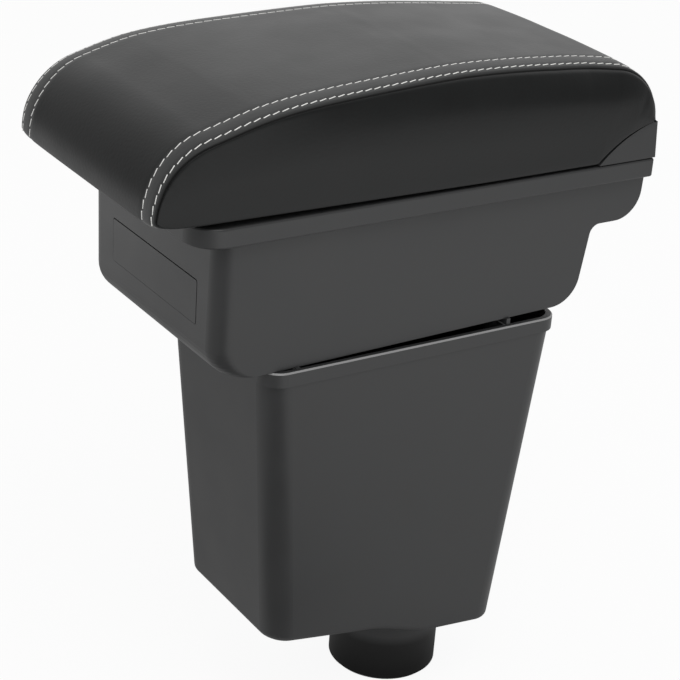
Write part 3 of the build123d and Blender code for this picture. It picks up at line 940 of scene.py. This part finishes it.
def row_path(side, row):
    """Points of the leather along a row of thread, each with the way that it faces."""
    path = []
    for station in pad_profile(row_spacing):
        lowest = stitch_nose if station[0].x < crown_x else stitch_rear
        if station[0].y < lowest:
            continue
        seam, _, outward = seam_axes(station, side)
        above = seam + Vector((0, -side * row, 0)) + outward * row_height
        place, facing = leather_skin.ray_cast(above * MM, -outward)[:2]
        if place is not None:
            path.append((place / MM, facing))
    return path


def lay_stitch(bm, uv_map, matrix):
    """One stitch: a short bar of thread whose two ends dip into the leather."""
    made = bmesh.ops.create_uvsphere(
        bm, u_segments=stitch_sides, v_segments=stitch_rings, radius=stitch_radius
    )
    along_thread = {}
    for vert in made["verts"]:
        across, height, along = vert.co
        along += (stitch_half - stitch_radius) * (1 if along > 0 else -1)
        along_thread[vert] = (along / ply_pitch, atan2(across, height) / (2 * pi))
        dip = stitch_dip * (along / stitch_half) ** 2
        vert.co = matrix @ (Vector((along, across, height - dip)) * MM)
    for face in {face for vert in along_thread for face in vert.link_faces}:
        for loop in face.loops:
            loop[uv_map].uv = along_thread[loop.vert]


def stitch_frame(path, length, lengths):
    """Place of the stitch at a length along its row, turned along it and level with the leather."""
    index = max(1, next(n for n, reached in enumerate(lengths) if reached >= length))
    share = (length - lengths[index - 1]) / (lengths[index] - lengths[index - 1])
    place = path[index - 1][0].lerp(path[index][0], share)
    facing = path[index - 1][1].lerp(path[index][1], share).normalized()
    along = path[index][0] - path[index - 1][0]
    along = (along - facing * along.dot(facing)).normalized()
    turn = Matrix((along, facing.cross(along), facing)).transposed().to_4x4()
    return Matrix.Translation((place + facing * (stitch_radius * stitch_lift)) * MM) @ turn


for name, side in (("left", -1), ("right", 1)):
    for place, row in (("outer", outer_row), ("inner", inner_row)):
        path = row_path(side, row)
        lengths = lengths_along([point for point, facing in path])
        count = int(lengths[-1] / stitch_pitch)
        stitches = bmesh.new()
        thread_map = stitches.loops.layers.uv.new("thread")
        slant = Matrix.Rotation(-side * stitch_slant, 4, "Z")
        for number in range(count):
            length = (number + 0.5) * lengths[-1] / count
            lay_stitch(stitches, thread_map, stitch_frame(path, length, lengths) @ slant)
        piece = finish_piece(f"{name}_{place}_stitches", stitches, "lid", thread)
        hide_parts(f"{name}_{place}_topstitching")

# Foam, drawn in at its top by the cover that is sewn tight over it
foam_mesh = bmesh.new()
foam_mesh.from_mesh(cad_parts["pad_foam"].data)
bmesh.ops.remove_doubles(foam_mesh, verts=foam_mesh.verts, dist=foam_weld * MM)
for vert in foam_mesh.verts:
    drawn = share_of(vert.co.z / MM, foam_hold, foam_run)
    vert.co.y = lid_y * MM + (vert.co.y - lid_y * MM) * (1 - foam_narrow * drawn)
    vert.co.z -= foam_drop * drawn * MM
foam = finish_piece("foam_block", foam_mesh, "lid", cut_foam())
for face in foam.data.polygons:
    face.use_smooth = False
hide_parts("pad_foam")

# Solid pieces that keep their shape and get their finish here
finishes = (
    (abs_plastic, ("lower_box", "upper_box", "front_blank_panel", "lid_base", "pad_board")),
    (zinc_plate(), ("joining_screws", "joining_washers", "hinge_pin", "lid_screws")),
    (moulded_rubber(), ("lid_bumpers",)),
)
for finish, names in finishes:
    for name in names:
        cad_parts[name].data.materials.clear()
        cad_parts[name].data.materials.append(finish)


def pale_floor():
    """Floor of the studio: white to the eye, and graded where glossy surfaces show it.

    There it glows dim under the object, a painted shadow, and whiter away from it, and dims again far ahead
    and to the rear, painted fall-off of the light.
    """
    material, tree = new_material("pale floor")
    rays = node(tree, "ShaderNodeLightPath")
    mirrored = node(
        tree,
        "ShaderNodeMath",
        {0: rays.outputs["Is Glossy Ray"], 1: rays.outputs["Is Transmission Ray"]},
        operation="MAXIMUM",
    ).outputs[0]
    place = node(tree, "ShaderNodeTexCoord").outputs["Object"]
    rearward = node(tree, "ShaderNodeSeparateXYZ", {"Vector": place}).outputs["X"]
    outward = node(tree, "ShaderNodeVectorMath", {0: place}, operation="LENGTH").outputs["Value"]
    leftward = node(
        tree, "ShaderNodeVectorMath", {0: place, 1: floor_left}, operation="DOT_PRODUCT"
    ).outputs["Value"]
    # Each grade runs between two places in metres, from the first brightness to the second
    under, beside, behind, before, ahead, aside = [
        node(
            tree,
            "ShaderNodeMapRange",
            {"Value": along, "From Min": first, "From Max": last, "To Min": low, "To Max": high},
        ).outputs["Result"]
        for along, first, last, low, high in (
            (outward, 0.04, 0.11, 0.3, 1.0),
            (outward, 0.3, 0.75, 0.62, 1.3),
            (rearward, 0.2, 0.7, 1.0, 0.55),
            (leftward, 0.45, 0.95, 0.42, 1.0),
            (rearward, -2.0, -0.6, 0.2, 1.0),
            (leftward, -0.2, 0.2, 1.0, 0.0),
        )
    ]
    to_side = node(tree, "ShaderNodeMath", {0: beside, 1: behind}, operation="MULTIPLY").outputs[0]
    to_front = node(tree, "ShaderNodeMath", {0: before, 1: ahead}, operation="MULTIPLY").outputs[0]
    round_it = node(
        tree, "ShaderNodeMix", {"Factor": aside, "A": to_front, "B": to_side}, data_type="FLOAT"
    ).outputs["Result"]
    bright = node(tree, "ShaderNodeMath", {0: round_it, 1: under}, operation="MULTIPLY").outputs[0]
    # This glow is painted light and shade: the object's shadow and the light's fall-off as glossy surfaces
    # show them
    graded = node(tree, "ShaderNodeEmission", {"Strength": bright}).outputs["Emission"]
    pale = node(tree, "ShaderNodeBsdfDiffuse", {"Color": linear("#e6e6e6")}).outputs["BSDF"]
    reflected = node(tree, "ShaderNodeMixShader", {0: mirrored, 1: pale, 2: graded}).outputs["Shader"]
    # To the eye most of its white glows, and the rest takes light and shadow
    glowing = node(tree, "ShaderNodeEmission", {"Strength": floor_glow}).outputs["Emission"]
    rest = (1 - floor_glow, 1 - floor_glow, 1 - floor_glow, 1)
    shaded = node(tree, "ShaderNodeBsdfDiffuse", {"Color": rest}).outputs["BSDF"]
    white = node(tree, "ShaderNodeAddShader", {0: glowing, 1: shaded}).outputs["Shader"]
    surface = node(
        tree, "ShaderNodeMixShader", {0: rays.outputs["Is Camera Ray"], 1: reflected, 2: white}
    ).outputs["Shader"]
    node(tree, "ShaderNodeOutputMaterial", {"Surface": surface})
    return material


def dark_card():
    """Matt grey card of the studio."""
    material, tree = new_material("dark card")
    shader = node(tree, "ShaderNodeBsdfDiffuse", {"Color": linear("#6c6c6c")})
    node(tree, "ShaderNodeOutputMaterial", {"Surface": shader.outputs["BSDF"]})
    return material


def white_surroundings():
    """White surroundings, with one broad light wall behind the object that glossy surfaces show."""
    world = bpy.data.worlds.new("studio")
    world.use_nodes = True
    tree = world.node_tree
    tree.nodes.clear()
    rays = node(tree, "ShaderNodeLightPath")
    way = node(tree, "ShaderNodeTexCoord").outputs["Generated"]
    towards = node(
        tree, "ShaderNodeVectorMath", {0: way, 1: wall_way}, operation="DOT_PRODUCT"
    ).outputs["Value"]
    wall = node(
        tree,
        "ShaderNodeMapRange",
        {"Value": towards, "From Min": wall_edge, "To Min": wall_dim, "To Max": wall_bright},
    ).outputs["Result"]
    lit = node(
        tree,
        "ShaderNodeMix",
        {"Factor": rays.outputs["Is Glossy Ray"], "A": ambient, "B": wall},
        data_type="FLOAT",
    ).outputs["Result"]
    seen = node(
        tree,
        "ShaderNodeMath",
        {0: rays.outputs["Is Camera Ray"], 1: rays.outputs["Is Transmission Ray"]},
        operation="MAXIMUM",
    ).outputs[0]
    level = node(
        tree, "ShaderNodeMix", {"Factor": seen, "A": lit, "B": 1.0}, data_type="FLOAT"
    ).outputs["Result"]
    sky = node(tree, "ShaderNodeBackground", {"Color": (1, 1, 1, 1), "Strength": level})
    node(tree, "ShaderNodeOutputWorld", {"Surface": sky.outputs["Background"]})
    return world


def stage_piece(name, bm, material):
    """Piece of the studio, which isn't part of the object."""
    mesh = bpy.data.meshes.new(name)
    bm.to_mesh(mesh)
    bm.free()
    mesh.materials.append(material)
    piece = bpy.data.objects.new(name, mesh)
    bpy.context.scene.collection.objects.link(piece)
    return piece


floor_mesh = bmesh.new()
bmesh.ops.create_circle(floor_mesh, cap_ends=True, segments=floor_facets, radius=floor_radius)
stage_piece("floor", floor_mesh, pale_floor())

# Dark card on the camera's side, which only reflections show, so that rounded corners read as round
card_mesh = bmesh.new()
bmesh.ops.create_grid(card_mesh, x_segments=1, y_segments=1, size=0.5)
bmesh.ops.scale(card_mesh, vec=card_size, verts=card_mesh.verts)
bmesh.ops.translate(card_mesh, vec=card_ahead, verts=card_mesh.verts)
bmesh.ops.rotate(card_mesh, matrix=Matrix.Rotation(view_turn, 3, "Z"), verts=card_mesh.verts)
bmesh.ops.translate(card_mesh, vec=card_start, verts=card_mesh.verts)
card = stage_piece("card", card_mesh, dark_card())
card.visible_camera = False
card.visible_diffuse = False
card.visible_transmission = False
card.visible_shadow = False

bpy.context.scene.world = white_surroundings()

# Softbox high up on the left of the car and a little ahead
softbox_data = bpy.data.lights.new("softbox", "AREA")
softbox_data.size = softbox_size
softbox_data.energy = softbox_power
softbox = bpy.data.objects.new("softbox", softbox_data)
softbox.location = softbox_target + softbox_way * softbox_distance
softbox.rotation_euler = softbox_way.to_track_quat("Z", "Y").to_euler()
bpy.context.scene.collection.objects.link(softbox)

# Camera, which looks down on the armrest's front left corner
back = Vector((sin(view_turn) * cos(view_height), -cos(view_turn) * cos(view_height), sin(view_height)))
level_right = Vector((cos(view_turn), sin(view_turn), 0))
level_up = back.cross(level_right)
right = level_right * cos(view_roll) + level_up * sin(view_roll)
upright = level_up * cos(view_roll) - level_right * sin(view_roll)
aim = Matrix((right, upright, back)).transposed().to_4x4()
camera_data = bpy.data.cameras.new("camera")
camera_data.sensor_width = sensor_width
camera_data.lens = focal_pixels / picture_pixels * sensor_width
camera = bpy.data.objects.new("camera", camera_data)
camera.matrix_world = Matrix.Translation(Vector(camera_place) * MM) @ aim
bpy.context.scene.collection.objects.link(camera)
bpy.context.scene.camera = camera
bpy.context.scene.view_settings.view_transform = "Standard"
